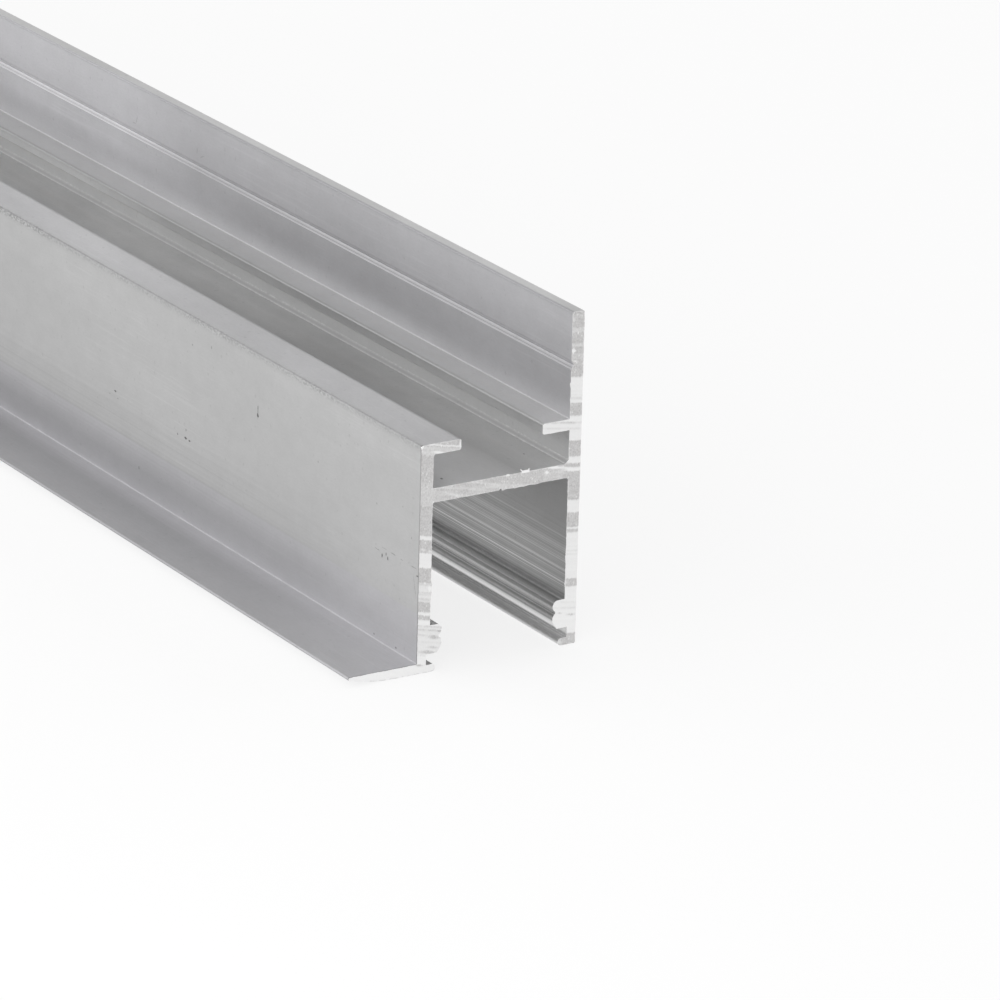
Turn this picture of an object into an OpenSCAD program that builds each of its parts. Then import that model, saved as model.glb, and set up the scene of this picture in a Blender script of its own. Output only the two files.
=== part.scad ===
// Aluminium extrusion profile: one straight bar of mill-finish stock, pressed through a die in one piece
// and sawn to length. Millimetres.
// The section is an uneven H. Below the web, two walls make a channel that grips the edge of a panel between
// two beads, with a gasket groove under each bead. Above the web, two lips make a slot for corner keys.
// The short wall stands on a cover flange, and the tall wall runs on above the slot as a screw leg.
// X runs across the section, Y along the bar and Z up. The origin is at the middle of the base.

/* [Bar] */
// Length of the bar
bar_length = 1000; // [50:10:6000]

/* [Walls and web] */
// Clear width between the two walls
channel_width = 22.4; // [18:0.1:40]
// Thickness of both walls
wall_thickness = 2; // [1.5:0.1:3]
// Height of the tall wall above the lips of the key slot
leg_height = 15.9; // [12:0.1:45]
// Depth of the panel channel, from the base to the underside of the web
channel_depth = 25.35; // [12:0.05:30]
// Thickness of the web
web_thickness = 2.1; // [1.5:0.1:4]

/* [Key slot] */
// Height of the slot between the web and the two lips
slot_height = 5.05; // [3:0.05:8]
// Thickness of the lips
lip_thickness = 1.6; // [1:0.1:2.5]
// Reach of each lip from its wall
lip_reach = 4.5; // [2:0.1:8]
// Chamfer in the corner of the slot, between the web and the tall wall
slot_chamfer = 0.6; // [0.3:0.05:2]

/* [Cover flange] */
// Reach of the flange beyond the short wall
flange_reach = 11.2; // [8:0.1:30]
// Thickness of the flange at the short wall
flange_thickness = 1.45; // [1:0.05:2.5]
// Thickness of the flange at its rounded outer edge
flange_edge_thickness = 0.5; // [0.3:0.05:0.9]
// Width of the flat under the flange, outside the short wall, from which the underside curves up to the edge
flange_flat = 3.5; // [1:0.1:5]

/* [Gasket grooves and beads] */
// Thickness of the toe below each gasket groove
toe_thickness = 1.1; // [0.8:0.05:1.6]
// Reach of each toe from its wall
toe_reach = 0.95; // [0.6:0.05:1.8]
// Height of each gasket groove
gasket_height = 1.6; // [1:0.1:3]
// Depth of each gasket groove in its wall
gasket_undercut = 0.55; // [0.2:0.05:0.9]
// Height of each two-lobed bead
bead_height = 4.3; // [3:0.1:6]
// Reach of each bead from its wall
bead_reach = 1.95; // [1.5:0.05:3]

/* [Drill lines] */
// Width of the V-shaped drill line on the tall wall
drill_line_width = 1.3; // [0.6:0.1:2]
// Distance of the drill line below the tall wall's top edge
drill_line_drop = 7.85; // [4:0.05:10]
// Depth of the drill line
drill_line_depth = 0.4; // [0.2:0.05:0.8]
// Width of the V-shaped centre mark under the web
centre_mark_width = 0.6; // [0.3:0.05:1.5]
// Depth of the centre mark
centre_mark_depth = 0.3; // [0.1:0.05:0.6]

/* [Edges] */
// Radius of the inside corners
corner_fillet = 0.4; // [0.2:0.05:0.7]
// Radius of the two crisp corners, at the root of the flange and on top of the tall wall's lip
root_fillet = 0.15; // [0.1:0.05:0.6]
// Radius of the outside edges
edge_radius = 0.3; // [0.1:0.05:0.45]

/* [Hidden] */

// How far a cut passes the surface that it opens
overrun = 1;

// Places across the section
total_width = flange_reach + 2 * wall_thickness + channel_width;
short_outer_x = flange_reach - total_width / 2;
short_inner_x = short_outer_x + wall_thickness;
tall_inner_x = short_inner_x + channel_width;
tall_outer_x = tall_inner_x + wall_thickness;
channel_middle_x = (short_inner_x + tall_inner_x) / 2;

// Heights above the base
gasket_top = toe_thickness + gasket_height;
web_top = channel_depth + web_thickness;
lip_underside = web_top + slot_height;
lip_top = lip_underside + lip_thickness;
tall_wall_height = lip_top + leg_height;
drill_line_height = tall_wall_height - drill_line_drop;

// The bead's outline, as shares of its height and of its reach
upper_lobe_radius_share = 0.2;
lower_lobe_radius_share = 0.27;
lower_lobe_height_share = 0.335;
bead_waist_reach_share = 0.77;
bead_heel_reach_share = 0.62;
upper_lobe_radius = bead_height * upper_lobe_radius_share;
lower_lobe_radius = bead_height * lower_lobe_radius_share;

// The underside of the flange: an arc that leaves the flat level and ends under the rounded edge
flange_edge_radius = flange_edge_thickness / 2;
flange_arc_run = flange_reach - flange_edge_radius - flange_flat;
flange_arc_rise = flange_thickness - flange_edge_thickness;
flange_arc_radius = (flange_arc_run ^ 2 + flange_arc_rise ^ 2) / (2 * flange_arc_rise);

$fn = 64;

// Fills an inside corner at the origin, whose two faces run along +X and +Y
module corner_fill(radius) {
    difference() {
        square(radius);
        translate([radius, radius]) circle(radius);
    }
}

// Rounds an outside edge at the origin, of material that lies towards +X and +Y
module edge_cut(radius) {
    difference() {
        translate([-overrun, -overrun]) square(radius + overrun);
        translate([radius, radius]) circle(radius);
    }
}

// A V-shaped line in a surface along X, cut down from the origin
module v_line(width, depth) {
    slope = width / (2 * depth);
    polygon([
        [0, -depth],
        [(depth + overrun) * slope, overrun],
        [-(depth + overrun) * slope, overrun]
    ]);
}

// A wall with its outer face on X = 0 and its thickness towards +X, with both edges of its top rounded
module wall_section(height) {
    difference() {
        square([wall_thickness, height]);
        translate([0, height]) mirror([0, 1]) edge_cut(edge_radius);
        translate([wall_thickness, height]) rotate(180) edge_cut(edge_radius);
    }
}

// A lip of the key slot, out of a wall's inner face on X = 0, drawn from the middle of that wall
module lip_section() {
    translate([0, lip_underside]) difference() {
        translate([-wall_thickness / 2, 0]) square([wall_thickness / 2 + lip_reach, lip_thickness]);
        translate([lip_reach, 0]) mirror([1, 0]) edge_cut(edge_radius);
        translate([lip_reach, lip_thickness]) rotate(180) edge_cut(edge_radius);
    }
}

// The bead that grips the panel: two round lobes with a waist between them, on a flat heel
module bead_section() {
    waist_reach = bead_reach * bead_waist_reach_share;
    upper_lobe = [bead_reach - upper_lobe_radius, bead_height - upper_lobe_radius];
    lower_lobe = [bead_reach - lower_lobe_radius, bead_height * lower_lobe_height_share];
    // the heel's slope runs out to touch the lower lobe, at this angle round it
    heel = [bead_reach * bead_heel_reach_share, 0];
    out = heel - lower_lobe;
    touch_angle = atan2(out.y, out.x) + acos(lower_lobe_radius / norm(out));
    translate([0, gasket_top]) {
        polygon([
            [-wall_thickness / 2, 0],
            heel,
            lower_lobe + lower_lobe_radius * [cos(touch_angle), sin(touch_angle)],
            [waist_reach, lower_lobe.y],
            [waist_reach, upper_lobe.y],
            [upper_lobe.x, bead_height],
            [-wall_thickness / 2, bead_height]
        ]);
        translate(upper_lobe) circle(upper_lobe_radius);
        translate(lower_lobe) circle(lower_lobe_radius);
    }
}

// The round-nosed toe that closes the gasket groove at the base
module toe_section() {
    nose_radius = toe_thickness / 2;
    translate([-wall_thickness / 2, 0]) square([wall_thickness / 2 + toe_reach - nose_radius, toe_thickness]);
    translate([toe_reach - nose_radius, nose_radius]) circle(nose_radius);
}

// The part of the gasket groove that is let into the wall
module gasket_cut() {
    translate([-gasket_undercut, toe_thickness]) square([gasket_undercut + overrun, gasket_height]);
}

// Everything on the inner face of a wall, in the order that the die forms it from the base up
module inner_face_section() {
    toe_section();
    bead_section();
    lip_section();
    translate([0, channel_depth]) mirror([0, 1]) corner_fill(corner_fillet);
}

// The web, from the middle of one wall to the middle of the other, with a chamfer up the tall wall
module web_section() {
    short_middle_x = short_inner_x - wall_thickness / 2;
    tall_middle_x = tall_inner_x + wall_thickness / 2;
    polygon([
        [short_middle_x, channel_depth],
        [tall_middle_x, channel_depth],
        [tall_middle_x, web_top + slot_chamfer],
        [tall_inner_x, web_top + slot_chamfer],
        [tall_inner_x - slot_chamfer, web_top],
        [short_middle_x, web_top]
    ]);
}

// The cover flange outside the short wall: flat on top, bowed underneath, with a rounded edge
module flange_section() {
    translate([short_outer_x, 0]) mirror([1, 0]) {
        intersection() {
            square([flange_reach - flange_edge_radius, flange_thickness]);
            union() {
                translate([flange_flat, flange_arc_radius]) circle(flange_arc_radius);
                square([flange_flat, flange_thickness]);
            }
        }
        translate([flange_reach - flange_edge_radius, flange_thickness - flange_edge_radius])
            circle(flange_edge_radius);
        translate([-wall_thickness / 2, 0]) square([wall_thickness / 2 + flange_flat, flange_thickness]);
        translate([0, flange_thickness]) corner_fill(root_fillet);
    }
}

// The whole cross-section
module bar_section() {
    difference() {
        union() {
            translate([short_outer_x, 0]) wall_section(lip_top);
            translate([tall_outer_x, 0]) mirror([1, 0]) wall_section(tall_wall_height);
            translate([short_inner_x, 0]) inner_face_section();
            translate([tall_inner_x, 0]) mirror([1, 0]) inner_face_section();
            web_section();
            flange_section();
            // the roots of the lips: the short wall's is filled underneath, and the tall wall's on top
            translate([short_inner_x, lip_underside]) mirror([0, 1]) corner_fill(corner_fillet);
            translate([tall_inner_x, lip_top]) mirror([1, 0]) corner_fill(root_fillet);
        }
        translate([short_inner_x, 0]) gasket_cut();
        translate([tall_inner_x, 0]) mirror([1, 0]) gasket_cut();
        translate([tall_inner_x, drill_line_height]) rotate(90) v_line(drill_line_width, drill_line_depth);
        translate([channel_middle_x, channel_depth]) rotate(180) v_line(centre_mark_width, centre_mark_depth);
        translate([tall_outer_x, 0]) mirror([1, 0]) edge_cut(edge_radius);
    }
}

module extrusion_bar() {
    color([0.72, 0.72, 0.73])
        rotate([90, 0, 0])
            linear_extrude(height = bar_length, center = true)
                bar_section();
}

extrusion_bar();
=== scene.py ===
import math

import bpy
import numpy as np
from mathutils import Matrix, Vector, geometry


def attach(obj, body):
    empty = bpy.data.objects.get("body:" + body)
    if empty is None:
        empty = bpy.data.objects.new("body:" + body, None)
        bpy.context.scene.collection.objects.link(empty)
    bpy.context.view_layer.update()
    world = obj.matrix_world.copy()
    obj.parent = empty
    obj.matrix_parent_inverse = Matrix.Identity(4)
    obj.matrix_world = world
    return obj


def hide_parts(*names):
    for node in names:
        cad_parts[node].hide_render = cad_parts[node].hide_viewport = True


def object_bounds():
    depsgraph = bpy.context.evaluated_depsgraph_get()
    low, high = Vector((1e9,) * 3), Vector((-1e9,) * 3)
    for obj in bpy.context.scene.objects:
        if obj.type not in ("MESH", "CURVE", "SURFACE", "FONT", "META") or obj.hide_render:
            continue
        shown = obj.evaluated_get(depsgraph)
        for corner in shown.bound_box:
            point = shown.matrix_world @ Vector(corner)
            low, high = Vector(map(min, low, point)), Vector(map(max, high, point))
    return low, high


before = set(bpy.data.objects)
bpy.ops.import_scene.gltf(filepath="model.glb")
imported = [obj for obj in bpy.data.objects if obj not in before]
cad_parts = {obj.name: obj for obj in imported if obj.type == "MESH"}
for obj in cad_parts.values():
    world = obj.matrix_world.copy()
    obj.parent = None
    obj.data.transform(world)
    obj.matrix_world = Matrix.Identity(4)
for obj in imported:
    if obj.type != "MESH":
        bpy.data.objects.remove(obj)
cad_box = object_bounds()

scene = bpy.context.scene
scene.view_settings.view_transform = "Standard"


# The camera: a long lens that looks down on the sawn end from the flange side, with the bar running away
# out of the picture. It leans by a degree and a half, as the photograph does.
cut_end_y = cad_box[0][1]
camera_yaw, camera_pitch, camera_roll = (math.radians(angle) for angle in (32.24, 19.76, 1.5))
camera_distance = 0.9354
looks_at = Vector((0.0055, cut_end_y, 0.0239))
sensor_width, focal_length = 36.0, 239.328

forward = Vector((
    math.sin(camera_yaw) * math.cos(camera_pitch),
    math.cos(camera_yaw) * math.cos(camera_pitch),
    -math.sin(camera_pitch),
))
level_right = Vector((math.cos(camera_yaw), -math.sin(camera_yaw), 0.0))
level_down = forward.cross(level_right)
right = level_right * math.cos(camera_roll) - level_down * math.sin(camera_roll)
down = level_right * math.sin(camera_roll) + level_down * math.cos(camera_roll)

lens = bpy.data.cameras.new("long_lens")
lens.sensor_width = sensor_width
lens.lens = focal_length
lens.clip_start = 0.02
lens.clip_end = 50.0
camera = bpy.data.objects.new("camera", lens)
scene.collection.objects.link(camera)
turn = Matrix((right, -down, -forward)).transposed().to_4x4()
camera.matrix_world = Matrix.Translation(looks_at - forward * camera_distance) @ turn
scene.camera = camera


# The bar: an uneven H of mill-finish aluminium, pressed through a die in one piece and sawn to length.
# Its section is drawn in millimetres, round the outline with the metal on the left, from the foot of the tall
# wall, and it is swept along the bar with the lines that the die has scored in it.
tall_outer_x, wall_top = (round(1000 * cad_box[1][axis], 2) for axis in (0, 2))
flange_tip_x = -tall_outer_x
wall_thickness, flange_reach = 2.0, 11.2
tall_inner_x = tall_outer_x - wall_thickness
short_outer_x = round(flange_tip_x + flange_reach, 2)
short_inner_x = short_outer_x + wall_thickness
middle_x = (short_inner_x + tall_inner_x) / 2
web_low, web_top = 25.35, 27.45
lip_low, lip_top, lip_reach = 32.5, 34.1, 4.5
edge_radius, thin_edge_radius, fillet = 0.3, 0.25, 0.4


def arc(centre_x, centre_z, radius, start, end, turn_step=11):
    """Points on an arc between two angles in degrees."""
    steps = max(4, round(abs(end - start) / turn_step))
    turns = np.radians(np.linspace(start, end, steps + 1))
    return [(centre_x + radius * math.cos(t), centre_z + radius * math.sin(t)) for t in turns]


# the short wall's grip, from the base up: toe, gasket groove, heel, two lobes and the wall above them,
# and the room that it takes beside its wall and in it
toe_radius, toe_middle = 0.55, 0.4
groove_low, groove_top, groove_depth = 1.1, 2.7, 0.55
heel_reach, bead_top = 1.21, 7.0
grip_room, groove_room = 2.0, 1.0
lower_lobe, lower_lobe_radius = (short_inner_x + 0.789, 4.14), 1.161
upper_lobe, upper_lobe_radius = (short_inner_x + 1.09, 6.14), 0.86
grip = arc(short_inner_x + toe_middle, toe_radius, toe_radius, -90, 90)
grip += [(short_inner_x - groove_depth, groove_low), (short_inner_x - groove_depth, groove_top)]
grip += [(short_inner_x + heel_reach, groove_top)]
grip += arc(*lower_lobe, lower_lobe_radius, -35, 52, turn_step=4)
grip += arc(*upper_lobe, upper_lobe_radius, -61, 90, turn_step=5)
grip += [(short_inner_x, bead_top)]
mirrored_grip = [(2 * middle_x - x, z) for x, z in reversed(grip)]

# the drill line on the screw leg, by the depth and the height of its points
drill_depth = 0.4
drill_line = ((0, 42.80), (drill_depth, 42.10), (0.16, 41.76), (0.17, 41.70), (0, 41.48))
# the slot's chamfer, the mark under the web, and the flange, which is flat on top and bowed underneath
slot_chamfer, centre_mark = 0.6, 0.3
flange_top, flange_flat, flange_bow_radius, flange_bow = 1.45, 3.5, 29.69, 14.5
lip_nose = lip_reach - edge_radius

# the tall wall, up its outer face and down the screw leg to its lip
outline = arc(tall_outer_x - edge_radius, edge_radius, edge_radius, -90, 0)
outline += arc(tall_outer_x - thin_edge_radius, wall_top - thin_edge_radius, thin_edge_radius, 0, 90)
outline += arc(tall_inner_x + edge_radius, wall_top - edge_radius, edge_radius, 90, 180)
outline += [(tall_inner_x + depth, z) for depth, z in drill_line]
outline += [(tall_inner_x, lip_top)]
outline += arc(tall_inner_x - lip_nose, lip_top - edge_radius, edge_radius, 90, 180)
outline += arc(tall_inner_x - lip_nose, lip_low + edge_radius, edge_radius, 180, 270)
# the slot, from the tall wall to the short one, whose lip closes it
outline += [(tall_inner_x, lip_low), (tall_inner_x, web_top + slot_chamfer)]
outline += [(tall_inner_x - slot_chamfer, web_top), (short_inner_x, web_top)]
outline += arc(short_inner_x + fillet, lip_low - fillet, fillet, 180, 90)
outline += arc(short_inner_x + lip_nose, lip_low + edge_radius, edge_radius, -90, 0)
outline += arc(short_inner_x + lip_nose, lip_top - edge_radius, edge_radius, 0, 90)
# the short wall's outer face, and the flange with its bowed underside
outline += arc(short_outer_x + edge_radius, lip_top - edge_radius, edge_radius, 90, 180)
outline += [(short_outer_x, flange_top)]
outline += arc(flange_tip_x + thin_edge_radius, flange_top - thin_edge_radius, thin_edge_radius, 90, 270)
outline += arc(short_outer_x - flange_flat, flange_bow_radius, flange_bow_radius, -90 - flange_bow, -90)
# the channel: one grip, the underside of the web with its centre mark, and the other grip
outline += grip
outline += arc(short_inner_x + fillet, web_low - fillet, fillet, 180, 90)
outline += [(middle_x - centre_mark, web_low), (middle_x, web_low + centre_mark)]
outline += [(middle_x + centre_mark, web_low)]
outline += arc(tall_inner_x - fillet, web_low - fillet, fillet, 90, 0)
outline += mirrored_grip


def soften(points, radius):
    """Rounds each sharp corner, as a worn die leaves it."""
    gentle_turn, most_of_side, corner_points = math.radians(20), 0.4, 5
    soft = []
    count = len(points)
    for i in range(count):
        before, here, after = (np.array(points[(i + k) % count]) for k in (-1, 0, 1))
        back, on = before - here, after - here
        back_length, on_length = np.linalg.norm(back), np.linalg.norm(on)
        if back_length < 1e-6:
            continue
        turning = math.pi - math.acos(np.clip(back @ on / (back_length * on_length), -1, 1))
        if turning < gentle_turn:
            soft.append(tuple(here))
            continue
        reach = min(radius * math.tan(turning / 2), most_of_side * back_length, most_of_side * on_length)
        start, end = here + back / back_length * reach, here + on / on_length * reach
        for t in np.linspace(0, 1, corner_points):
            soft.append(tuple((1 - t) ** 2 * start + 2 * t * (1 - t) * here + t ** 2 * end))
    return soft


def spaced(points, step, scored_step):
    """Cuts the long runs of the outline into short ones, shortest where the die has scored the tall wall."""
    dense = []
    for (x0, z0), (x1, z1) in zip(points, points[1:] + points[:1]):
        by_tall_wall = min(x0, x1) > tall_inner_x - grip_room and max(x0, x1) < tall_inner_x + groove_room
        longest = scored_step if by_tall_wall and max(z0, z1) < web_low else step
        parts = max(1, math.ceil(math.hypot(x1 - x0, z1 - z0) / longest))
        for k in range(parts):
            dense.append((x0 + (x1 - x0) * k / parts, z0 + (z1 - z0) * k / parts))
    return np.array(dense)


section = spaced(soften(outline, radius=0.12), step=0.2, scored_step=0.085)
count = len(section)
section_x, section_z = section.T
along = np.roll(section, -1, axis=0) - np.roll(section, 1, axis=0)
along /= np.linalg.norm(along, axis=1)[:, None]
outward = np.stack([along[:, 1], -along[:, 0]], axis=1)
run = np.concatenate([[0], np.cumsum(np.linalg.norm(np.diff(section, axis=0), axis=1))])

# The faces of the section, each as a mask of its points. A hair takes in the points on the edge of a face.
hair = 0.05
between_walls = section_x > short_inner_x - groove_depth - hair
between_walls &= section_x < tall_inner_x + groove_depth + hair
in_slot = between_walls & (section_z > web_top - hair) & (section_z < lip_low + hair)
on_slot_floor = in_slot & (section_z < web_top + 0.3) & (section_x < tall_inner_x - 0.5)
on_slot_wall = in_slot & (section_x > tall_inner_x - 0.5)
in_channel = between_walls & (section_z < web_low + centre_mark + hair)
scored = in_channel & (section_x > tall_inner_x - grip_room)
in_groove = scored & (section_z < groove_top - hair)
low_on_grip = scored & (section_z < 4.6)
on_screw_leg = (abs(section_x - tall_inner_x) < drill_depth + hair) & (section_z > lip_top + hair)
below_drill_line = on_screw_leg & (section_z < 41.4)
on_top_face = (section_z > wall_top - hair) & (section_x > tall_inner_x)
lip_tip_x = tall_inner_x - lip_reach
on_shelf = (abs(section_z - lip_top) < 2 * hair) & (section_x > lip_tip_x - hair)
on_shelf &= section_x < tall_inner_x - 2 * hair
on_lip_edge = (abs(section_x - lip_tip_x - 2 * hair) < 4 * hair) & (section_z > lip_low + 2 * hair)
on_lip_edge &= section_z < lip_top - 4 * hair
on_lip_top = (abs(section_z - lip_top) < hair) & (section_x < middle_x)
on_outside = (section_x < short_outer_x + edge_radius + hair) & (section_z > 0.5)
on_outer_wall = on_outside & (section_z > 2)
from_root = short_outer_x - section_x
on_flange = on_outside & (from_root > 0.15)


def value_noise(places, seed):
    """Smooth noise of one coordinate, between -1 and 1."""
    knot_count = 4096
    knots = np.random.default_rng(seed).uniform(-1, 1, knot_count)
    low = np.floor(places).astype(int)
    part = places - low
    part = part * part * (3 - 2 * part)
    return knots[low % knot_count] * (1 - part) + knots[(low + 1) % knot_count] * part


# Die lines: fine scores along the whole bar, deepest low down on the tall wall inside the channel.
deepest_line = 0.004
rng = np.random.default_rng(7)
depth_of_lines = np.where(scored, np.clip((20 - section_z) / 6, 0.05, 1), 0.02)
depth_of_lines[scored & (section_z < groove_top + hair)] = 0.25
ridges = np.clip(rng.standard_t(3, count), -2.5, 2.5)
ridges += 0.7 * value_noise(run * 2.3, 11) + 0.6 * value_noise(run * 6.1, 12)
die_lines = deepest_line * depth_of_lines * ridges


def graded(places, *stops):
    """A value that changes evenly from stop to stop, each a place and the value there."""
    return np.interp(places, *zip(*stops))


# Tone of the metal, with painted light and shade on each face: lighter inside the channel, the slot and the
# gasket groove, darker on the tall wall's face in the channel, on the flange and low on the short wall,
# graded across the walls, the slot's floor, the leg and the shelf, lighter on the top face, and streaked by
# the die lines.
tone = np.full(count, 0.593)
tone[in_channel | in_slot] = 0.85
tone[scored] = 0.61
tone[in_groove] = 0.88
wall_tone = graded(section_z, (4, 1.0), (8, 1.04), (12, 1.035), (18, 0.985), (24, 0.965), (30, 0.98))
flange_tone = graded(from_root, (0, 0.955), (4.4, 0.96), (8.4, 0.92), (11, 0.92))
floor_tone = graded(section_x, (-5, 0.645), (2, 0.54), (9, 0.52), (13, 0.83))
leg_tone = graded(section_z, (34.1, 0.60), (37, 0.61), (41, 0.61), (43, 0.615), (50, 0.62))
shelf_tone = graded(section_x, (12.3, 0.505), (16.8, 0.55))
tone[on_outer_wall] *= wall_tone[on_outer_wall]
tone[on_slot_floor] = floor_tone[on_slot_floor]
tone[on_slot_wall] = 0.59
tone[on_screw_leg] = leg_tone[on_screw_leg]
tone[on_shelf] = shelf_tone[on_shelf]
tone[on_lip_edge] = 0.62
tone[on_lip_top] = 0.60
tone[on_top_face] = 0.72
tone[on_flange] *= flange_tone[on_flange]
tone *= 1 + 0.09 * depth_of_lines * ridges

# a cold tint on the screw leg and low outside, and half of it on the short wall's lip
neutral, cold = np.array([1.0, 1.0, 1.0]), np.array([1.0, 0.995, 1.020])
is_cold = on_screw_leg | on_outside & (section_z < 9)
tint = np.where(is_cold[:, None], cold, neutral)
tint[on_lip_top] = (neutral + cold) / 2

# what changes along the bar: painted shade darkens the outside away from the cut, where its lines show as
# well, and painted light lifts a far stretch of the leg, the lip's edge and the slot
wall_far_shade = graded(
    section_z, (1.5, 0.03), (3, 0.13), (5, 0.205), (8, 0.15), (12, 0.085), (18, 0.03), (26, 0.015), (30, 0),
)
flange_far_shade = graded(
    from_root, (0.15, 0.02), (1.8, 0.06), (3.6, 0.20), (4.6, 0.225), (8.4, 0.135), (11, 0.13),
)
far_shade = np.where(on_flange, flange_far_shade, np.where(on_outside, wall_far_shade, 0))
wall_lines = np.where(on_outer_wall, 0.024 * np.exp(-(((section_z - 10) / 3.5) ** 2)) * ridges, 0)
wall_lines[on_flange] = 0.006 * ridges[on_flange]
# painted light on a far stretch of the leg, the lip's edge and the slot
leg_far_painted_light = graded(section_z, (34.1, 0.08), (36, 0.17), (39, 0.38), (44, 0.28), (47, 0.22), (49.7, 0.20))
far_painted_light = np.where(on_screw_leg, leg_far_painted_light, np.where(on_lip_edge, 0.40, np.where(in_slot, 0.05, 0)))

# Thin lines along the bar, each by its place on the section, its half width and how much lighter it is:
# die lines in the channel, and painted highlights and painted shade along edges, fillets and the bead's
# lobes.
fine_lines = (
    (tall_inner_x + 0.09, wall_top - 0.09, 0.22, -0.36),
    (tall_inner_x + 0.25, 42.40, 0.30, 0.28),
    (tall_inner_x + 0.28, 41.95, 0.20, -0.31),
    (tall_inner_x + 0.165, 41.73, 0.06, -0.36),
    (tall_inner_x + 0.06, 41.58, 0.11, -0.35),
    (tall_inner_x - 4.41, lip_top - 0.09, 0.30, -0.25),
    (tall_inner_x - 0.62, web_top, 0.14, -0.18),
    (tall_inner_x - 0.30, web_top + 0.30, 0.32, -0.28),
    (short_inner_x + 4.41, lip_top - 0.09, 0.35, -0.30),
    (short_outer_x + 0.06, lip_top - 0.07, 0.11, -0.46),
    (short_outer_x, lip_top - 0.45, 0.60, -0.07),
    (tall_inner_x, 16.2, 0.07, 0.25),
    (tall_inner_x, 14.6, 0.07, 0.30),
    (tall_inner_x, 12.2, 0.08, 0.30),
    (tall_inner_x, 11.2, 0.08, 0.25),
    (tall_inner_x, 9.37, 0.10, 0.60),
    (tall_inner_x, 8.92, 0.09, 0.40),
    (tall_inner_x, 8.15, 0.15, 0.25),
    (tall_inner_x - 0.37, 7.0, 0.15, 0.90),
    (tall_inner_x - 1.78, 6.66, 0.12, 0.60),
    (tall_inner_x - 1.94, 6.22, 0.18, -0.28),
    (tall_inner_x - 1.90, 5.85, 0.25, -0.04),
    (tall_inner_x - 1.51, 5.20, 0.12, -0.20),
    (tall_inner_x - 1.65, 4.93, 0.11, 0.60),
    (tall_inner_x - 1.84, 4.62, 0.12, 0.05),
    (tall_inner_x - 1.94, 4.20, 0.15, -0.36),
    (tall_inner_x - 1.80, 3.55, 0.30, 0.45),
    (tall_inner_x - 1.55, 3.15, 0.25, 0.40),
    (tall_inner_x - 1.25, 2.72, 0.15, -0.30),
    (tall_inner_x + 0.55, 1.42, 0.17, -0.35),
    (tall_inner_x + 0.15, 1.1, 0.15, 0.20),
    (tall_inner_x - 0.92, 0.68, 0.38, -0.33),
)
for line_x, line_z, half_width, lighter in fine_lines:
    from_line = np.hypot(section_x - line_x, section_z - line_z)
    tone *= 1 + lighter * np.exp(-((from_line / half_width) ** 2))

# Dust lies along the short wall's top edge and thins out below it. Painted glints, which count below zero,
# lie in light flecks along both edges of the slot's chamfer and the nose of the bead.
dust_z, dust_width, fleck_width = lip_top - 0.45, 0.42, 0.12
dust_and_glints = np.where(on_outer_wall, 0.85 * np.exp(-(((dust_z - section_z) / dust_width) ** 2)), 0)
for edge_x, edge_z in (
    (tall_inner_x, web_top + slot_chamfer),
    (tall_inner_x - slot_chamfer, web_top),
    (tall_inner_x - 1.9, 5.8),
):
    from_edge = np.hypot(section_x - edge_x, section_z - edge_z)
    dust_and_glints -= 0.4 * np.exp(-((from_edge / fleck_width) ** 2))

# The saw cut: the blade tore the metal in some bands and rubbed it bright in others, on long arcs that fall
# towards the tall wall. Each band has its two heights at the middle of its wall, and its shine.
# Each score has its height, its half width and the shine that it takes away.
bands_on_tall_wall = (
    (46.9, 47.6, 0.35), (44.8, 45.2, 0.35), (42.9, 43.8, 0.20), (36.4, 40.3, 0.86), (30.8, 34.5, 0.86),
    (27.4, 28.4, 0.85), (26.2, 26.8, 0.92), (20.0, 21.9, 0.86), (17.5, 17.8, 0.85), (10.0, 17.0, 0.86),
    (5.0, 8.8, 0.92), (4.4, 5.2, 0.92), (1.7, 4.6, 0.95),
)
scores_on_tall_wall = (
    (38.1, 0.12, 0.20), (37.6, 0.10, 0.25), (37.1, 0.20, 0.55), (33.45, 0.14, 0.95), (32.57, 0.13, 0.40),
    (14.8, 0.10, 0.20), (14.2, 0.10, 0.25), (13.7, 0.10, 0.30), (6.4, 0.12, 0.28), (5.5, 0.12, 0.35),
)
bands_on_short_wall = (
    (34.1, 34.3, 0.95), (32.6, 33.9, 0.35), (25.0, 28.5, 0.20), (20.0, 20.6, 0.86), (15.8, 18.05, 0.86),
    (13.2, 13.6, 0.40), (10.7, 13.2, 0.72), (8.7, 9.2, 0.90), (7.0, 8.05, 0.90), (2.6, 7.0, 0.75),
    (-3.0, 2.6, 1.00),
)
scores_on_short_wall = (
    (33.3, 0.10, 0.25), (12.1, 0.12, 0.40), (11.8, 0.12, 0.35), (11.15, 0.13, 0.60), (10.9, 0.08, 0.30),
    (7.10, 0.10, 0.85), (6.52, 0.11, 0.85), (5.70, 0.12, 0.45), (4.70, 0.12, 0.20), (2.20, 0.10, 0.15),
)
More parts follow.
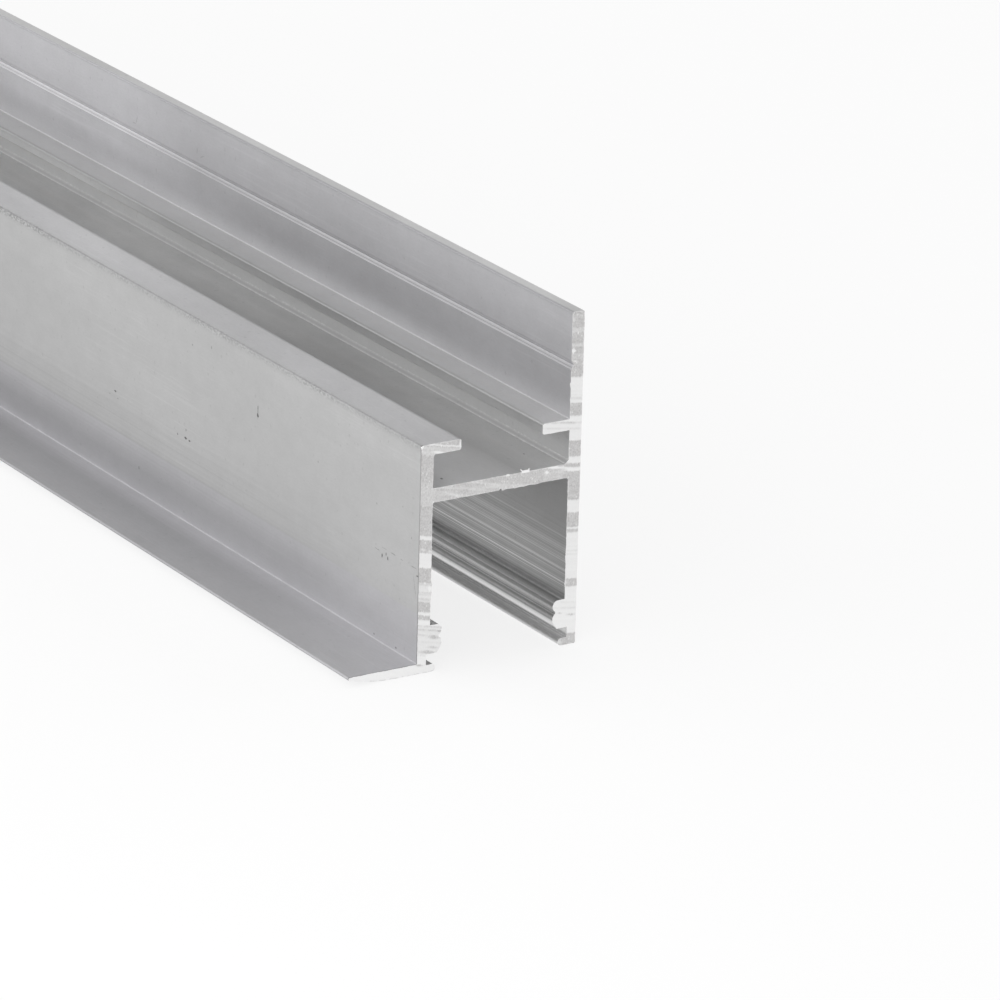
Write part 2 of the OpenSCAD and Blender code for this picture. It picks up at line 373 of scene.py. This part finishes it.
# Single marks on the front end, each by its place, its half sizes and the shine that it adds or takes away.
marks = (
    (17.10, 44.25, 0.32, 0.40, 0.9), (17.45, 42.65, 0.50, 0.09, 0.7), (13.20, 26.75, 0.35, 0.22, 0.9),
    (14.60, 27.25, 2.20, 0.17, 0.9), (6.60, 27.40, 0.30, 0.08, 0.8), (17.60, 49.55, 0.15, 0.15, 0.6),
    (18.20, 49.30, 0.20, 0.10, 0.5), (17.00, 48.80, 0.07, 0.80, 0.5), (17.30, 31.00, 0.30, 0.10, 0.3),
    (17.14, 49.75, 0.10, 0.22, -0.5), (17.65, 49.90, 0.16, 0.10, -0.5), (16.90, 9.50, 0.25, 0.45, 0.4),
    (18.27, 9.20, 0.12, 0.20, 0.5), (16.05, 4.98, 0.45, 0.11, -0.55), (18.00, 4.47, 0.75, 0.13, -0.75),
    (16.00, 0.55, 0.60, 0.45, 0.35), (-1.30, 33.40, 0.10, 0.60, 0.8), (-4.90, 32.76, 0.95, 0.16, 0.7),
    (-7.00, 18.60, 0.45, 0.22, 0.35), (-5.90, 18.10, 0.35, 0.20, 0.4), (-6.60, 13.50, 0.18, 0.15, 0.6),
    (-5.80, 12.60, 0.25, 0.45, 0.3), (-4.94, 5.10, 0.90, 0.24, -0.55), (-5.05, 3.61, 0.90, 0.16, -0.45),
    (-5.85, 3.00, 1.50, 0.26, -0.50), (-4.05, 5.88, 0.50, 0.11, -0.65), (-7.30, 1.30, 0.80, 0.11, -0.90),
    (-2.20, 26.05, 1.20, 0.10, 0.30), (-1.60, 25.70, 0.50, 0.14, 0.40), (1.20, 27.20, 1.40, 0.08, 0.30),
    (-3.60, 26.60, 1.20, 0.07, 0.25),
)
front_seed, back_seed = 100, 300


def saw_arc(x):
    """How far the saw's lines have fallen at x."""
    return 0.21 * x - 0.0017 * x ** 2


def rubbed_share(x, z, seed):
    """How far a point of the cut is rubbed bright, from 0 to 1."""
    band_blur, web_blend = 0.1, 1.5
    wander = 0.06 * value_noise(x * 1.7 + 31, seed) + 0.05 * value_noise(x * 7 + 13, seed + 1)
    tall_side = x > 9
    share = np.full(len(x), 0.02)
    for bands, scores, wall_x, side in (
        (bands_on_tall_wall, scores_on_tall_wall, tall_outer_x - wall_thickness / 2, tall_side),
        (bands_on_short_wall, scores_on_short_wall, short_outer_x + wall_thickness / 2, ~tall_side),
    ):
        level = z + saw_arc(x) - saw_arc(wall_x) + wander
        for low, high, shine in bands:
            above = np.clip((level - low) / band_blur + 0.5, 0, 1)
            below = np.clip((high - level) / band_blur + 0.5, 0, 1)
            share = np.where(side, np.maximum(share, shine * above * below), share)
        for height, half_width, dulled in scores:
            broken = np.clip(0.8 + 0.5 * value_noise(x * 1.6 + 7 * height, seed + 9), 0, 1)
            scored_here = dulled * broken * np.exp(-(((level - 0.7 * wander - height) / half_width) ** 2))
            share = np.where(side, share - scored_here, share)
    # the web is torn all over, with faint streaks
    on_web = np.clip((x - short_inner_x) / web_blend, 0, 1) * np.clip((tall_inner_x - x) / web_blend, 0, 1)
    on_web *= (z > web_low - fillet) & (z < web_top + fillet)
    level = z + saw_arc(x)
    streaks = value_noise(level * 2.6, seed + 2) * value_noise(x * 0.45, seed + 8)
    streaks += 0.5 * value_noise(level * 6.3, seed + 15) * value_noise(x * 1.1, seed + 16)
    share = share * (1 - on_web) + on_web * (0.12 + 0.45 * np.clip(streaks, -0.2, 1))
    share = 0.25 + 0.75 * share
    if seed == front_seed:
        for mark_x, mark_z, half_x, half_z, shine in marks:
            off = abs(x - mark_x) / half_x + abs(level - mark_z - saw_arc(mark_x)) / half_z
            ragged = value_noise(x * 5 + 3 * mark_z, seed + 12) * value_noise(z * 5 + mark_x, seed + 13)
            share = share + shine * np.clip(1.6 - off + 0.35 * ragged, 0, 1)
    return np.clip(share, 0, 1)


def saw_relief(x, z, seed):
    """Height of the cut surface in millimetres, and how far it is rubbed."""
    line_height, grain_height, torn_depth = 0.010, 0.008, 0.03
    level = z + saw_arc(x)
    rubbed = rubbed_share(x, z, seed)
    lines = 0.6 * value_noise(level * 3.1, seed + 3) + 0.4 * value_noise(level * 8.3, seed + 4)
    draws = np.random.default_rng(seed + 5)
    grain = draws.normal(0, 1, len(x))
    torn = np.clip(1.3 * (1 - rubbed), 0, 1)
    height = line_height * lines * (0.3 + 0.7 * torn) + grain_height * grain * torn ** 2 - torn_depth * torn
    specks = draws.random(len(x)) < 0.012
    shine = rubbed + 0.10 * grain * torn + 0.05 * lines + 0.6 * specks * torn
    return height, np.clip(shine, 0, 1)


def sawn_cap(rim):
    """Fills the section with points on the saw's lines. Returns the inner points and the triangles."""
    row_step, point_step, rim_gap, most_fall = 0.10, 0.24, 0.09, 8
    low, high = rim.min(axis=0), rim.max(axis=0)
    points = []
    for k, level in enumerate(np.arange(low[1] - most_fall, high[1] + most_fall, row_step)):
        x = np.arange(low[0], high[0], point_step) + (k % 2) * point_step / 2
        points.append(np.stack([x, level - saw_arc(x)], axis=1))
    points = np.concatenate(points)
    inside = np.zeros(len(points), bool)
    near = np.full(len(points), np.inf)
    for (x0, z0), (x1, z1) in zip(rim, np.roll(rim, -1, axis=0)):
        crosses = (z0 > points[:, 1]) != (z1 > points[:, 1])
        if z1 != z0:
            inside ^= crosses & (points[:, 0] < (x1 - x0) * (points[:, 1] - z0) / (z1 - z0) + x0)
        near = np.minimum(near, (points[:, 0] - x0) ** 2 + (points[:, 1] - z0) ** 2)
    points = points[inside & (near > rim_gap ** 2)]
    edges = [(i, (i + 1) % len(rim)) for i in range(len(rim))]
    flat = [Vector(p) for p in rim] + [Vector(p) for p in points]
    _, _, faces, made_from, _, _ = geometry.delaunay_2d_cdt(flat, edges, [], 1, 1e-7)
    return points, [tuple(made_from[i][0] for i in face) for face in faces]


# Where the blade has rolled the edge of the cut over, by the place, the half length and the reach.
rolled_edges = (
    (tall_inner_x, 39.2, 0.35, 0.14), (tall_inner_x, 38.3, 0.25, -0.05), (tall_inner_x, 37.0, 0.40, 0.08),
    (short_inner_x, 13.0, 0.40, 0.20), (short_inner_x, 12.0, 0.45, 0.22), (short_inner_x, 11.0, 0.35, 0.15),
    (tall_inner_x, 13.5, 0.60, 0.08), (tall_inner_x, 9.4, 0.30, 0.10), (8.0, web_low, 0.40, 0.12),
    (9.5, web_low, 0.30, 0.08), (11.5, web_low, 0.50, 0.08), (6.0, web_low, 0.25, 0.10),
    (short_inner_x + 1.9, 6.3, 0.20, 0.10), (short_inner_x + 1.9, 4.9, 0.25, 0.10),
    (short_inner_x + 1.5, 3.4, 0.30, 0.08), (tall_outer_x - 0.3, 49.7, 0.50, -0.16),
)


def burr(seed):
    """How far the saw has pushed out each point of the rim."""
    out = 0.03 * np.clip(value_noise(run * 1.3, seed + 6), 0, 1) + 0.025 * value_noise(run * 4.1, seed + 7)
    for edge_x, edge_z, half_run, reach in rolled_edges:
        off = np.hypot(section_x - edge_x, section_z - edge_z) / half_run
        out = out + reach * np.exp(-(off ** 2)) * (1 + 0.4 * value_noise(run * 6, seed + 10))
    return out


def tone_at(from_end):
    """How much lighter or darker each point of the section is, this far from the nearer cut end."""
    # painted shade darkens the outside over the first few centimetres, where its lines come out as well
    change = 1 - far_shade * np.clip((from_end - 3) / np.where(on_flange, 50, 37), 0, 1)
    change *= 1 + wall_lines * np.clip((from_end - 15) / 40, 0, 1)
    # painted shade makes the channel darker near the cut, and painted light and shade change both lips, the
    # top face and the leg a little there
    change *= np.where(in_channel & ~low_on_grip, 0.8 + 0.2 * min(1.0, from_end / 18), 1)
    change *= np.where(on_lip_top, 1 + 0.10 * min(1.0, from_end / 90), 1)
    change *= np.where(on_top_face, 1 - 0.16 * math.exp(-from_end / 5), 1)
    change *= np.where(below_drill_line, graded(from_end, (0, 0.95), (30, 0.96), (60, 1.03)), 1)
    shelf_change = 0.16 * math.exp(-from_end / 6) - graded(from_end, (60, 0), (130, 0.09))
    change *= np.where(on_shelf, 1 + shelf_change, 1)
    # painted light on that far stretch
    change *= 1 + far_painted_light * graded(from_end, (107, 0), (132, 1), (160, 1), (230, 0))
    # the very edge of the cut: a painted highlight, and darker on the outside
    if from_end < 0.2:
        change *= np.where(on_outside, 0.65, 1.08)
    return change


def rim_glint_and_shadow(seed):
    """Painted light on the edge of the cut: a highlight added to the saw marks, a painted shadow at the base,
    and a little darker outside.
    """
    shine = 0.30 + 0.35 * value_noise(run * 3, seed + 11)
    at_base = (section_z < edge_radius) & (value_noise(run * 2.2, seed + 14) > -0.3)
    return np.where(at_base, -0.55, np.where(on_outside & (section_z > 3), -0.1, shine))


# The sweep: rings of the section along the bar, close together at the ends and far apart between.
half_length = -cut_end_y * 1000
steps_from_end = [0, 0.06, 0.14, 0.3, 0.7, 4, 10, 20, 35, 60, 107, 132, 160, 230, 330, 430]
stations = [-half_length + s for s in steps_from_end] + [half_length - s for s in reversed(steps_from_end)]
burr_depth = 0.5
plain_tone = 0.62

points, finish_at, dust_and_glints_at, rubbed_and_rim_light_at, ring_starts = [], [], [], [], []
filled = 0
for y in stations:
    from_end = half_length - abs(y)
    seed = front_seed if y < 0 else back_seed
    fade = 0.8 + 0.2 * value_noise(run * 0.9 + y / 70, 55)
    rolled = burr(seed) * max(0.0, 1 - from_end / burr_depth) ** 2
    ring = section + outward * (die_lines * fade + rolled)[:, None]
    ring_y = np.full(count, y)
    ring_tone = tone * (1 + 0.015 * value_noise(run * 0.35 + y / 45, 56)) * tone_at(from_end)
    rubbed = np.zeros(count)
    if from_end == 0:
        height, rubbed = saw_relief(section_x, section_z, seed)
        ring_y = ring_y + np.sign(y) * height
        # the edge of the cut takes a painted highlight, and a painted shadow at the base
        rubbed = np.clip(rubbed + rim_glint_and_shadow(seed), 0, 1)
    ring_starts.append(filled)
    filled += count
    points.append(np.stack([ring[:, 0], ring_y, ring[:, 1]], axis=1))
    finish_at.append(ring_tone[:, None] * tint)
    dust_and_glints_at.append(dust_and_glints)
    rubbed_and_rim_light_at.append(rubbed)

mill_index, sawn_index = 0, 1
faces, finishes = [], []
for start, following in zip(ring_starts, ring_starts[1:]):
    for i in range(count):
        j = (i + 1) % count
        faces.append((start + i, start + j, following + j, following + i))
        finishes.append(mill_index)

for ring_number, y, seed in ((0, -half_length, front_seed), (len(stations) - 1, half_length, back_seed)):
    rim = points[ring_number][:, (0, 2)]
    inner, triangles = sawn_cap(rim)
    height, rubbed = saw_relief(inner[:, 0], inner[:, 1], seed)
    points.append(np.stack([inner[:, 0], y + np.sign(y) * height, inner[:, 1]], axis=1))
    finish_at.append(np.full((len(inner), 3), plain_tone))
    dust_and_glints_at.append(np.zeros(len(inner)))
    rubbed_and_rim_light_at.append(rubbed)
    for triangle in triangles:
        corners = [ring_starts[ring_number] + i if i < count else filled + i - count for i in triangle]
        faces.append(tuple(corners if y < 0 else reversed(corners)))
        finishes.append(sawn_index)
    filled += len(inner)

bar_mesh = bpy.data.meshes.new("bar")
bar_mesh.from_pydata((np.concatenate(points) / 1000).tolist(), [], faces)
bar_mesh.polygons.foreach_set("material_index", finishes)
bar_mesh.polygons.foreach_set("use_smooth", [True] * len(faces))
finish_at = np.concatenate(finish_at)
finish_at = np.concatenate([finish_at, np.ones((len(finish_at), 1))], axis=1)
bar_mesh.attributes.new("finish", "FLOAT_COLOR", "POINT").data.foreach_set("color", finish_at.ravel())
bar_mesh.attributes.new("dust_and_glints", "FLOAT", "POINT").data.foreach_set("value", np.concatenate(dust_and_glints_at))
bar_mesh.attributes.new("rubbed", "FLOAT", "POINT").data.foreach_set("value", np.concatenate(rubbed_and_rim_light_at))
rims = {start + i for start in (ring_starts[0], ring_starts[-1]) for i in range(count)}
sharp = [e.vertices[0] in rims and e.vertices[1] in rims for e in bar_mesh.edges]
bar_mesh.attributes.new("sharp_edge", "BOOLEAN", "EDGE").data.foreach_set("value", sharp)
bar_mesh.validate()
bar_mesh.update()
bar = bpy.data.objects.new("bar", bar_mesh)
scene.collection.objects.link(bar)

# Mill finish: bare aluminium as it leaves the press, dulled by its oxide, softly clouded and finely grained.
mill_finish = bpy.data.materials.new("mill_finish")
mill_finish.use_nodes = True
nodes, links = mill_finish.node_tree.nodes, mill_finish.node_tree.links
metal = nodes["Principled BSDF"]
metal.inputs["Metallic"].default_value = 1.0
place = nodes.new("ShaderNodeTexCoord")


def stretched_noise(scale, stretch_y, detail):
    """Noise on the bar, drawn out along it where stretch_y is under 1."""
    stretch = nodes.new("ShaderNodeMapping")
    stretch.inputs["Scale"].default_value = (1.0, stretch_y, 1.0)
    links.new(place.outputs["Object"], stretch.inputs["Vector"])
    noise = nodes.new("ShaderNodeTexNoise")
    noise.inputs["Scale"].default_value = scale
    noise.inputs["Detail"].default_value = detail
    links.new(stretch.outputs["Vector"], noise.inputs["Vector"])
    return noise.outputs["Fac"]


def spread(value, from_low, from_high, to_low, to_high):
    """Maps one range of a value on another."""
    ranged = nodes.new("ShaderNodeMapRange")
    limits = {"From Min": from_low, "From Max": from_high, "To Min": to_low, "To Max": to_high}
    for name, number in limits.items():
        ranged.inputs[name].default_value = number
    links.new(value, ranged.inputs["Value"])
    return ranged.outputs["Result"]


def combined(operation, first, second):
    """Joins two values of the material at hand by an operation such as MULTIPLY."""
    joined = nodes.new("ShaderNodeMath")
    joined.operation = operation
    for socket, value in zip(joined.inputs, (first, second)):
        links.new(value, socket)
    return joined.outputs["Value"]


def read_attribute(name, output):
    """Reads what the mesh holds under a name."""
    attribute = nodes.new("ShaderNodeAttribute")
    attribute.attribute_name = name
    return attribute.outputs[output]


clouds = stretched_noise(60.0, 0.4, 5.0)
grain = stretched_noise(3800.0, 0.35, 2.0)
shade = combined("MULTIPLY", spread(clouds, 0.25, 0.75, 0.955, 1.045), spread(grain, 0.2, 0.8, 0.972, 1.028))
mottle = stretched_noise(420.0, 0.6, 4.0)
shade = combined("MULTIPLY", shade, spread(mottle, 0.25, 0.75, 0.974, 1.026))

# short scratches along the bar, in patches, and a few specks
scratches = spread(stretched_noise(2600.0, 0.02, 1.0), 0.57, 0.70, 0.0, 1.0)
patches = spread(stretched_noise(55.0, 0.6, 2.0), 0.46, 0.62, 0.0, 1.0)
shade = combined("MULTIPLY", shade, spread(combined("MULTIPLY", scratches, patches), 0.0, 1.0, 1.0, 1.045))
shade = combined("MULTIPLY", shade, spread(stretched_noise(1300.0, 1.0, 0.0), 0.77, 0.83, 1.0, 0.92))

# dust on the edge, and painted glints in flecks: specks in loose heaps along the bar
specks = spread(stretched_noise(3000.0, 0.6, 3.0), 0.40, 0.62, -0.4, 1.0)
heaps = spread(stretched_noise(38.0, 1.0, 2.0), 0.42, 0.62, 0.30, 1.0)
dust_and_glint_specks = combined("MULTIPLY", combined("MULTIPLY", specks, heaps), read_attribute("dust_and_glints", "Fac"))
shade = combined("MULTIPLY", shade, spread(dust_and_glint_specks, -1.0, 1.0, 1.45, 0.55))

# Pits and scratches, by their distance from the cut end, their height, their half sizes in millimetres, their
# slant in degrees and how dark they are. Those on the slot's floor have their place across it for a height.
pits_on_short_wall = (
    (88.7, 15.3, 0.45, 0.20, 0, 0.70), (87.9, 14.3, 0.25, 0.15, 0, 0.40), (90.4, 14.4, 0.30, 0.12, 0, 0.30),
    (67.0, 14.5, 0.55, 0.22, 0, 0.75), (65.8, 14.4, 0.40, 0.18, 0, 0.65), (69.4, 14.4, 0.28, 0.20, 0, 0.50),
    (66.9, 15.8, 0.22, 0.28, 0, 0.40), (45.7, 25.4, 0.16, 1.20, 0, 0.45), (45.7, 24.6, 0.35, 0.45, 0, 0.70),
    (65.2, 29.6, 0.25, 0.20, 0, 0.30), (59.5, 30.9, 0.20, 0.35, 0, 0.30), (81.2, 5.4, 0.20, 0.35, 0, 0.40),
    (28.3, 22.9, 0.20, 0.20, 0, 0.30), (11.8, 21.8, 0.25, 0.15, 0, 0.25), (4.7, 23.6, 0.20, 0.15, 0, 0.25),
    (2.2, 19.7, 0.15, 0.22, 0, 0.35), (10.1, 14.55, 0.22, 0.40, 0, 0.70), (9.0, 15.1, 0.18, 0.42, 0, 0.55),
    (8.5, 14.6, 0.18, 0.42, 0, 0.65), (11.4, 15.1, 0.90, 0.10, 4, 0.35), (9.5, 15.8, 0.90, 0.09, 0, 0.25),
    (7.0, 15.75, 0.90, 0.10, 0, 0.40), (4.7, 15.65, 0.50, 0.10, 0, 0.30), (1.5, 15.6, 1.10, 0.09, 0, 0.35),
    (1.1, 12.8, 0.10, 2.20, -14, 0.22), (0.4, 14.6, 0.40, 0.15, 0, 0.60), (11.9, 2.1, 0.25, 0.18, 0, 0.60),
    (5.8, 2.0, 0.28, 0.18, 0, 0.60),
)
pits_on_screw_leg = (
    (127.6, 43.8, 0.70, 0.14, 0, 0.16), (126.8, 44.5, 0.20, 0.85, 20, 0.16),
    (107.6, 44.7, 0.18, 0.65, 0, 0.16), (106.0, 44.1, 1.00, 0.14, -25, 0.16),
    (99.0, 46.9, 0.14, 1.10, 0, 0.12),
)
pits_on_slot_floor = (
    (3.0, -2.4, 0.40, 0.25, 0, 0.75), (6.5, 13.4, 0.25, 0.20, 0, 0.50),
)
pit_depth, shake = 0.6, 0.0003
ragged = nodes.new("ShaderNodeTexNoise")
ragged.inputs["Scale"].default_value = 5000.0
links.new(place.outputs["Object"], ragged.inputs["Vector"])
shaken = nodes.new("ShaderNodeVectorMath")
shaken.operation = "MULTIPLY_ADD"
shaken.inputs[1].default_value = (shake, shake, shake)
links.new(ragged.outputs["Color"], shaken.inputs[0])
links.new(place.outputs["Object"], shaken.inputs[2])
kept = None
for pits, upright, level in (
    (pits_on_short_wall, True, short_outer_x),
    (pits_on_screw_leg, True, tall_inner_x),
    (pits_on_slot_floor, False, web_top),
):
    for from_end, across, half_long, half_across, slant, darkness in pits:
        y = from_end - half_length
        centre = (level, y, across) if upright else (across, y, level)
        half_sizes = (pit_depth, half_long, half_across) if upright else (half_across, half_long, pit_depth)
        spot = nodes.new("ShaderNodeMapping")
        spot.vector_type = "TEXTURE"
        spot.inputs["Location"].default_value = [c / 1000 + shake / 2 for c in centre]
        spot.inputs["Rotation"].default_value = (math.radians(slant), 0, 0)
        spot.inputs["Scale"].default_value = [h / 1000 for h in half_sizes]
        links.new(shaken.outputs["Vector"], spot.inputs["Vector"])
        round_spot = nodes.new("ShaderNodeTexGradient")
        round_spot.gradient_type = "SPHERICAL"
        links.new(spot.outputs["Vector"], round_spot.inputs["Vector"])
        pit = spread(round_spot.outputs["Fac"], 0.1, 0.5, 1.0, 1.0 - darkness)
        kept = pit if kept is None else combined("MINIMUM", kept, pit)
shade = combined("MULTIPLY", shade, kept)

base = nodes.new("ShaderNodeVectorMath")
base.operation = "SCALE"
links.new(read_attribute("finish", "Color"), base.inputs[0])
links.new(shade, base.inputs["Scale"])
links.new(base.outputs["Vector"], metal.inputs["Base Color"])
links.new(spread(clouds, 0.3, 0.7, 0.52, 0.60), metal.inputs["Roughness"])
relief = nodes.new("ShaderNodeBump")
relief.inputs["Strength"].default_value = 0.06
relief.inputs["Distance"].default_value = 0.0001
links.new(grain, relief.inputs["Height"])
links.new(relief.outputs["Normal"], metal.inputs["Normal"])

# Sawn metal: fresh and bare, silvery where the blade rubbed it, grey and grainy where it tore it.
torn_grey, rubbed_silver = (0.565, 0.556, 0.554, 1), (0.940, 0.940, 0.938, 1)
sawn_metal = bpy.data.materials.new("sawn_metal")
sawn_metal.use_nodes = True
nodes, links = sawn_metal.node_tree.nodes, sawn_metal.node_tree.links
metal = nodes["Principled BSDF"]
metal.inputs["Metallic"].default_value = 1.0
place = nodes.new("ShaderNodeTexCoord")
rubbed = read_attribute("rubbed", "Fac")
silver = nodes.new("ShaderNodeValToRGB")
silver.color_ramp.elements[0].color = torn_grey
silver.color_ramp.elements[1].color = rubbed_silver
links.new(rubbed, silver.inputs["Fac"])
crystals = nodes.new("ShaderNodeTexNoise")
crystals.inputs["Scale"].default_value = 4200.0
crystals.inputs["Detail"].default_value = 3.0
links.new(place.outputs["Object"], crystals.inputs["Vector"])
torn = spread(rubbed, 0.0, 0.8, 1.0, 0.15)
speckle = combined("MULTIPLY", spread(crystals.outputs["Fac"], 0.25, 0.75, -0.11, 0.11), torn)
fresh = nodes.new("ShaderNodeVectorMath")
fresh.operation = "SCALE"
links.new(silver.outputs["Color"], fresh.inputs[0])
links.new(spread(speckle, -0.2, 0.2, 0.8, 1.2), fresh.inputs["Scale"])
links.new(fresh.outputs["Vector"], metal.inputs["Base Color"])
links.new(spread(rubbed, 0.0, 1.0, 0.58, 0.40), metal.inputs["Roughness"])
relief = nodes.new("ShaderNodeBump")
relief.inputs["Strength"].default_value = 0.25
relief.inputs["Distance"].default_value = 0.0001
links.new(speckle, relief.inputs["Height"])
links.new(relief.outputs["Normal"], metal.inputs["Normal"])

bar_mesh.materials.append(mill_finish)
bar_mesh.materials.append(sawn_metal)
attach(bar, "root")
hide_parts("extrusion_bar")


# The burrs: thin slivers of torn aluminium that the saw left hanging on the edges of the cut, two on the
# web's top edge and one on the short wall's top corner. Each is a flat flake that leans out, drawn in
# millimetres.
flakes = (
    [(8.95, 27.30), (9.00, 27.54), (8.66, 27.97), (8.76, 28.00), (9.12, 27.68), (9.60, 27.73),
     (10.02, 27.70), (10.10, 27.92), (10.22, 27.94), (10.24, 27.64), (10.28, 27.30)],
    [(6.40, 27.30), (6.45, 27.52), (6.72, 27.58), (6.95, 27.50), (7.00, 27.30)],
    [(-7.56, 33.42), (-7.78, 33.90), (-7.66, 34.02), (-7.56, 33.92), (-7.42, 34.10), (-7.26, 33.92),
     (-7.40, 33.68)],
)
flake_thickness, flake_root, flake_lean = 0.07, 0.05, 0.25
burr_points, burr_faces = [], []
for flake in flakes:
    first, sides = len(burr_points), len(flake)
    foot = min(z for _, z in flake)
    for inset in (flake_root, flake_root - flake_thickness):
        for x, z in flake:
            y = inset - flake_lean * (z - foot) ** 2 - half_length
            burr_points.append((x / 1000, y / 1000, z / 1000))
    burr_faces.append(tuple(first + sides + i for i in range(sides)))
    burr_faces.append(tuple(first + i for i in reversed(range(sides))))
    for i in range(sides):
        j = (i + 1) % sides
        burr_faces.append((first + i, first + j, first + sides + j, first + sides + i))
burr_mesh = bpy.data.meshes.new("saw_burrs")
burr_mesh.from_pydata(burr_points, [], burr_faces)
burr_mesh.attributes.new("rubbed", "FLOAT", "POINT").data.foreach_set("value", [1.0] * len(burr_points))
burr_mesh.materials.append(sawn_metal)
burrs = bpy.data.objects.new("saw_burrs", burr_mesh)
scene.collection.objects.link(burrs)
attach(burrs, "root")


# The studio: a pale floor just under the bar, a white dome of light, and soft lamps round and above the bar.
# The floor is matt white paint, which also glows where it is seen and so keeps only a faint shadow.
floor_reach, floor_level, floor_glow = 6, -0.00005, 0.80
floor_mesh = bpy.data.meshes.new("floor")
floor_sides = ((-1, -1), (1, -1), (1, 1), (-1, 1))
floor_corners = [(x * floor_reach, y * floor_reach, floor_level) for x, y in floor_sides]
floor_mesh.from_pydata(floor_corners, [], [(0, 1, 2, 3)])
floor = bpy.data.objects.new("floor", floor_mesh)
scene.collection.objects.link(floor)
pale_floor = bpy.data.materials.new("pale_floor")
pale_floor.use_nodes = True
nodes, links = pale_floor.node_tree.nodes, pale_floor.node_tree.links
paint = nodes["Principled BSDF"]
paint.inputs["Base Color"].default_value = (0.92, 0.92, 0.92, 1)
paint.inputs["Roughness"].default_value = 0.9
paint.inputs["Specular IOR Level"].default_value = 0.0
glow = nodes.new("ShaderNodeEmission")
ray = nodes.new("ShaderNodeLightPath")
seen = combined("MAXIMUM", ray.outputs["Is Camera Ray"], ray.outputs["Is Glossy Ray"])
seen = combined("MAXIMUM", seen, ray.outputs["Is Transmission Ray"])
blend = nodes.new("ShaderNodeMixShader")
links.new(spread(seen, 0.0, 1.0, 0.0, floor_glow), blend.inputs["Fac"])
links.new(paint.outputs["BSDF"], blend.inputs[1])
links.new(glow.outputs["Emission"], blend.inputs[2])
links.new(blend.outputs["Shader"], nodes["Material Output"].inputs["Surface"])
floor_mesh.materials.append(pale_floor)

world = bpy.data.worlds.new("studio")
scene.world = world
world.use_nodes = True
dome = world.node_tree.nodes["Background"]
dome.inputs["Color"].default_value = (1, 1, 1, 1)
dome.inputs["Strength"].default_value = 0.5

# each lamp by its name, its place, its two sizes and its watts
lit_point = Vector((0.0, cut_end_y + 0.05, 0.02))
for name, place_of_lamp, size, watts in (
    ("overhead", (0.0, -0.2, 1.3), (1.2, 1.6), 3.0),
    ("left", (-1.3, -0.2, 0.8), (1.2, 1.0), 6.0),
    ("right", (1.3, -0.3, 0.9), (1.2, 1.0), 5.0),
    ("back_left", (-0.9, 1.1, 0.9), (1.2, 1.0), 5.0),
    ("card", (-0.30, -0.72, 0.16), (0.25, 0.25), 0.55),
):
    softbox = bpy.data.lights.new(name, "AREA")
    softbox.shape = "RECTANGLE"
    softbox.size, softbox.size_y = size
    softbox.energy = watts
    stand = bpy.data.objects.new(name, softbox)
    scene.collection.objects.link(stand)
    stand.location = place_of_lamp
    stand.rotation_euler = (lit_point - stand.location).to_track_quat("-Z", "Y").to_euler()
